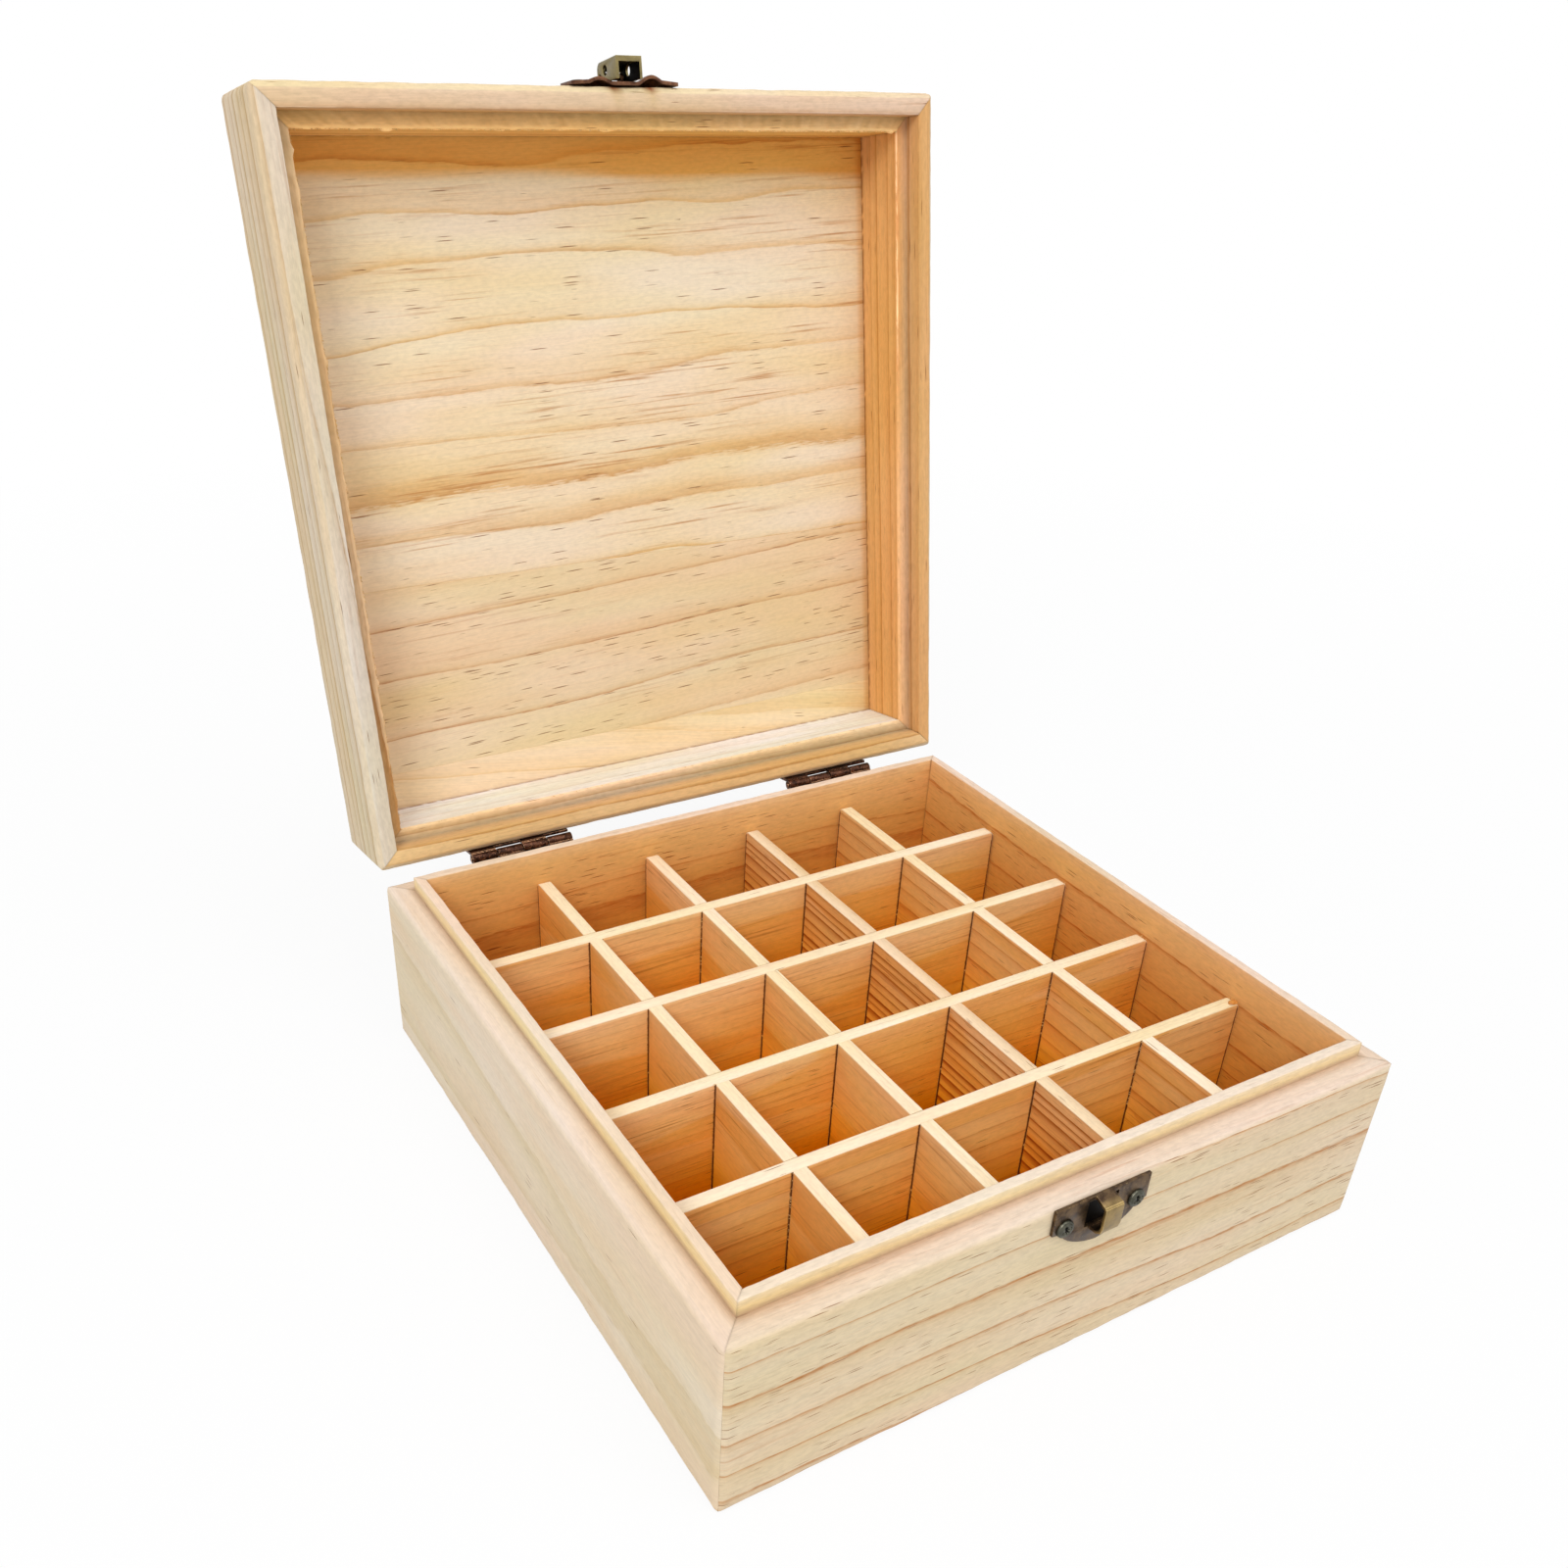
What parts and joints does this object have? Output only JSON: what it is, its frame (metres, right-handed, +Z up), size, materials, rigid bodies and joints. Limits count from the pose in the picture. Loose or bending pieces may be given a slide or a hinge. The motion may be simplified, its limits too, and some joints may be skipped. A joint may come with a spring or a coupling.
{
  "type": "wooden organizer box",
  "caption": "Square pine box with a hinged lid, a lift-out grid of half-lapped dividers that makes small cells, two barrel hinges and a hasp latch.",
  "frame": {"origin": "middle of the underside, on the surface the box stands on", "axes": "+Z up, +X to the right as seen from the front, +Y from the latch to the hinges; at rest the lid stands open"},
  "size_m": [0.185, 0.2511, 0.2387],
  "materials": {
    "base_wood": "raw sanded pine, matt",
    "bottom_board": "raw thin board, matt",
    "lid_wood": "raw sanded pine, matt",
    "lid_board": "raw thin board, matt",
    "divider_wood": "raw thin board, matt",
    "antique_bronze": "aged, satin",
    "dark_bronze": "aged dark, satin"
  },
  "bodies": {
    "base": {"base_front_wall": "base_wood", "base_right_wall": "base_wood", "base_back_wall": "base_wood", "base_left_wall": "base_wood", "base_bottom_panel": "bottom_board", "left_hinge_base_leaf": "antique_bronze", "left_hinge_pin": "dark_bronze", "left_hinge_base_screw_1": "dark_bronze", "left_hinge_base_screw_2": "dark_bronze", "right_hinge_base_leaf": "antique_bronze", "right_hinge_pin": "dark_bronze", "right_hinge_base_screw_1": "dark_bronze", "right_hinge_base_screw_2": "dark_bronze", "catch_plate": "antique_bronze", "catch_screw_1": "dark_bronze", "catch_screw_2": "dark_bronze"},
    "lid": {"lid_front_wall": "lid_wood", "lid_right_wall": "lid_wood", "lid_back_wall": "lid_wood", "lid_left_wall": "lid_wood", "lid_top_panel": "lid_board", "left_hinge_lid_leaf": "antique_bronze", "left_hinge_lid_screw_1": "dark_bronze", "left_hinge_lid_screw_2": "dark_bronze", "right_hinge_lid_leaf": "antique_bronze", "right_hinge_lid_screw_1": "dark_bronze", "right_hinge_lid_screw_2": "dark_bronze", "hasp_plate": "antique_bronze", "hasp_screw_1": "dark_bronze", "hasp_screw_2": "dark_bronze", "hasp_pin": "dark_bronze"},
    "hasp_cap": {"hasp_cap": "antique_bronze"},
    "divider_grid": {"long_divider_1": "divider_wood", "long_divider_2": "divider_wood", "long_divider_3": "divider_wood", "long_divider_4": "divider_wood", "cross_divider_1": "divider_wood", "cross_divider_2": "divider_wood", "cross_divider_3": "divider_wood", "cross_divider_4": "divider_wood"}
  },
  "joints": [
    {"name": "lid_hinge", "type": "hinge", "parent": "base", "child": "lid", "pos_m": [0, 0.09445, 0.0483], "axis": [1, 0, 0], "range_deg": [0, 100]},
    {"name": "hasp_pivot", "type": "hinge", "parent": "lid", "child": "hasp_cap", "pos_m": [-0.001, 0.13521, 0.23338], "axis": [1, 0, 0], "range_deg": [-90, 0]},
    {"name": "divider_lift", "type": "slide", "parent": "base", "child": "divider_grid", "axis": [0, 0, 1], "range_m": [0, 0.025]}
  ]
}
